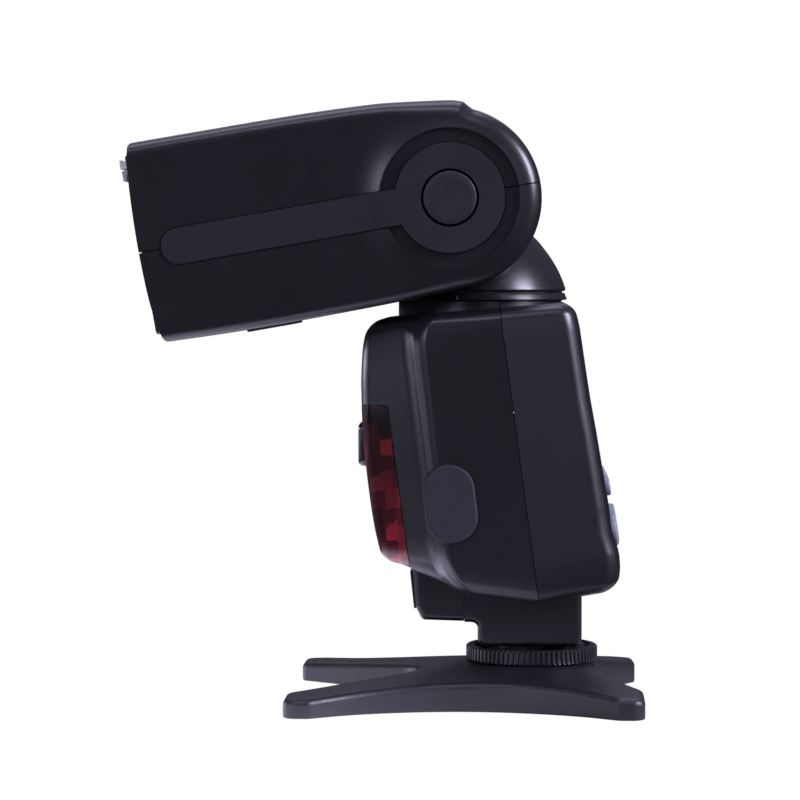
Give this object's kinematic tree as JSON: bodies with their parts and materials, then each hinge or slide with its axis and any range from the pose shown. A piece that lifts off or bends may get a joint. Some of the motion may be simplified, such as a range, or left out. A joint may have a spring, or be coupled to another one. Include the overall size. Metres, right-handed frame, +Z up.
{
  "type": "speedlight flash",
  "caption": "Shoe-mount camera flash with a tilting, swivelling zoom head, red assist window and rear control panel, locked in a cross-shaped shoe stand.",
  "frame": {"origin": "centre of the footprint on the plane that the stand rests on", "axes": "+Z up; the flash head points along -X; the battery door is on the +Y side and the port cover on the -Y side"},
  "size_m": [0.1296, 0.084, 0.1472],
  "materials": {
    "black_plastic": "satin black moulded plastic with a very fine grain",
    "matte_trim": "matte blue-black moulded plastic",
    "rubber_cover": "soft matte dark grey rubber",
    "stand_plastic": "grained black plastic",
    "steel": "bright steel",
    "brass": "plain brass",
    "copper_contact": "copper alloy strip",
    "red_window": "clear deep red polished plastic",
    "clear_plastic": "clear polished plastic",
    "glass_tube": "clear glass",
    "white_card": "white matte sheet",
    "dark_window": "glossy black infrared window",
    "circuit_board": "green laminate",
    "button_grey": "light blue-grey rubbery plastic",
    "cell_sleeve": "printed steel can without lettering",
    "capacitor_sleeve": "sleeved aluminium can",
    "lcd_glass": "grey-green display",
    "reflector_metal": "polished aluminium sheet"
  },
  "bodies": {
    "stand": {"stand_base": "stand_plastic", "stand_thread_insert": "brass"},
    "flash_body": {"shoe_foot_plate": "steel", "foot_centre_contact": "brass", "foot_block": "black_plastic", "foot_front_cover": "black_plastic", "metering_sensor_window": "dark_window", "front_shell": "black_plastic", "rear_shell": "black_plastic", "af_assist_window": "red_window", "wireless_sensor_lens": "dark_window", "af_lamp_housing": "matte_trim", "af_lamp_lens": "red_window", "pc_sync_socket": "steel", "power_socket": "black_plastic", "battery_holder": "matte_trim", "battery_cell_1": "cell_sleeve", "battery_cell_2": "cell_sleeve", "battery_cell_3": "cell_sleeve", "battery_cell_4": "cell_sleeve", "main_capacitor": "capacitor_sleeve", "main_circuit_board": "circuit_board", "control_panel_bezel": "black_plastic", "lcd_window": "clear_plastic", "lcd_module": "lcd_glass"},
    "lock_ring": {"lock_ring": "black_plastic"},
    "lock_pin": {"lock_pin": "steel"},
    "neck": {"neck_shell": "black_plastic", "swivel_retainer_ring": "steel"},
    "head": {"head_upper_shell": "black_plastic", "head_lower_shell": "black_plastic", "side_trim_left": "matte_trim", "side_trim_right": "matte_trim", "pivot_cap_right": "black_plastic", "tilt_shaft": "steel", "tilt_release_spring": "steel", "lens_bezel": "black_plastic", "fresnel_lens": "clear_plastic", "head_bottom_plate": "matte_trim", "zoom_guide_rod": "steel", "zoom_motor": "steel"},
    "tilt_release": {"tilt_release_button": "black_plastic"},
    "wide_panel": {"wide_panel": "clear_plastic"},
    "bounce_card": {"bounce_card": "white_card"},
    "zoom_carriage": {"zoom_carriage": "black_plastic", "reflector": "reflector_metal", "flash_tube": "glass_tube"},
    "zoom_lead_screw": {"zoom_lead_screw": "steel"},
    "battery_door_carrier": {"battery_door_carrier": "matte_trim"},
    "battery_door": {"battery_door": "black_plastic", "door_contact_plate": "copper_contact"},
    "port_cover": {"port_cover": "rubber_cover"},
    "button_backlight": {"button_backlight": "button_grey"},
    "button_mode": {"button_mode": "button_grey"},
    "button_zoom": {"button_zoom": "button_grey"},
    "button_sound": {"button_sound": "button_grey"},
    "button_pilot": {"button_pilot": "button_grey"},
    "button_power": {"button_power": "button_grey"},
    "button_ok": {"button_ok": "button_grey"},
    "navigation_ring": {"navigation_ring": "button_grey"}
  },
  "joints": [
    {"name": "foot_in_shoe_slide", "type": "slide", "parent": "stand", "child": "flash_body", "axis": [1, 0, 0], "range_m": [0, 0.026]},
    {"name": "lock_ring_turn", "type": "hinge", "parent": "flash_body", "child": "lock_ring", "pos_m": [0.03802, 0, 0.01165], "axis": [0, 0, 1], "range_deg": [0, 180]},
    {"name": "lock_pin_lift", "type": "slide", "parent": "flash_body", "child": "lock_pin", "axis": [0, 0, 1], "range_m": [0, 0.0012], "stiffness_N_per_m": 0.2, "springref_m": 0.012},
    {"name": "head_swivel", "type": "hinge", "parent": "flash_body", "child": "neck", "pos_m": [0.02502, 0, 0.1015], "axis": [0, 0, 1], "range_deg": [-60, 60]},
    {"name": "head_tilt", "type": "hinge", "parent": "neck", "child": "head", "pos_m": [0.01832, 0, 0.124], "axis": [0, 1, 0], "range_deg": [0, 100]},
    {"name": "tilt_release_press", "type": "slide", "parent": "head", "child": "tilt_release", "axis": [0, 1, 0], "range_m": [0, 0.002], "stiffness_N_per_m": 600, "springref_m": -0.001, "deforming": ["tilt_release_spring"]},
    {"name": "wide_panel_pull", "type": "slide", "parent": "head", "child": "wide_panel", "axis": [-0.9848, 0, -0.1736], "range_m": [0, 0.036]},
    {"name": "bounce_card_pull", "type": "slide", "parent": "head", "child": "bounce_card", "axis": [-0.9848, 0, -0.1736], "range_m": [0, 0.032]},
    {"name": "zoom_travel", "type": "slide", "parent": "head", "child": "zoom_carriage", "axis": [-0.9848, 0, -0.1736], "range_m": [0, 0.014]},
    {"name": "zoom_screw_turn", "type": "hinge", "parent": "head", "child": "zoom_lead_screw", "pos_m": [-0.02768, 0.0265, 0.10269], "axis": [-0.9848, 0, -0.1736], "range_deg": [0, 1440]},
    {"name": "battery_door_slide", "type": "slide", "parent": "flash_body", "child": "battery_door_carrier", "axis": [0, 0, -1], "range_m": [0, 0.005]},
    {"name": "battery_door_swing", "type": "hinge", "parent": "battery_door_carrier", "child": "battery_door", "pos_m": [0.02067, 0.0359, 0.05], "axis": [0, 0, 1], "range_deg": [0, 100]},
    {"name": "port_cover_open", "type": "hinge", "parent": "flash_body", "child": "port_cover", "pos_m": [0.02457, -0.0362, 0.05186], "axis": [-0.1219, 0, 0.9925], "range_deg": [0, 110]},
    {"name": "button_backlight_press", "type": "slide", "parent": "flash_body", "child": "button_backlight", "axis": [-0.9875, 0, -0.1578], "range_m": [0, 0.0006], "stiffness_N_per_m": 400, "springref_m": -0.0006},
    {"name": "button_mode_press", "type": "slide", "parent": "flash_body", "child": "button_mode", "axis": [-0.9875, 0, -0.1578], "range_m": [0, 0.0006], "stiffness_N_per_m": 400, "springref_m": -0.0006},
    {"name": "button_zoom_press", "type": "slide", "parent": "flash_body", "child": "button_zoom", "axis": [-0.9875, 0, -0.1578], "range_m": [0, 0.0006], "stiffness_N_per_m": 400, "springref_m": -0.0006},
    {"name": "button_sound_press", "type": "slide", "parent": "flash_body", "child": "button_sound", "axis": [-0.9875, 0, -0.1578], "range_m": [0, 0.0006], "stiffness_N_per_m": 400, "springref_m": -0.0006},
    {"name": "button_pilot_press", "type": "slide", "parent": "flash_body", "child": "button_pilot", "axis": [-0.9875, 0, -0.1578], "range_m": [0, 0.0006], "stiffness_N_per_m": 400, "springref_m": -0.0006},
    {"name": "button_power_press", "type": "slide", "parent": "flash_body", "child": "button_power", "axis": [-0.9875, 0, -0.1578], "range_m": [0, 0.0006], "stiffness_N_per_m": 400, "springref_m": -0.0006},
    {"name": "button_ok_press", "type": "slide", "parent": "flash_body", "child": "button_ok", "axis": [-0.9875, 0, -0.1578], "range_m": [0, 0.0006], "stiffness_N_per_m": 400, "springref_m": -0.0006},
    {"name": "navigation_ring_press", "type": "slide", "parent": "flash_body", "child": "navigation_ring", "axis": [-0.9875, 0, -0.1578], "range_m": [0, 0.0006], "stiffness_N_per_m": 400, "springref_m": -0.0006}
  ],
  "couplings": [
    {"joint": "lock_pin_lift", "follows": "lock_ring_turn", "m_per_rad": 0.00038121},
    {"joint": "zoom_screw_turn", "follows": "zoom_travel", "rad_per_m": 1795.2}
  ]
}
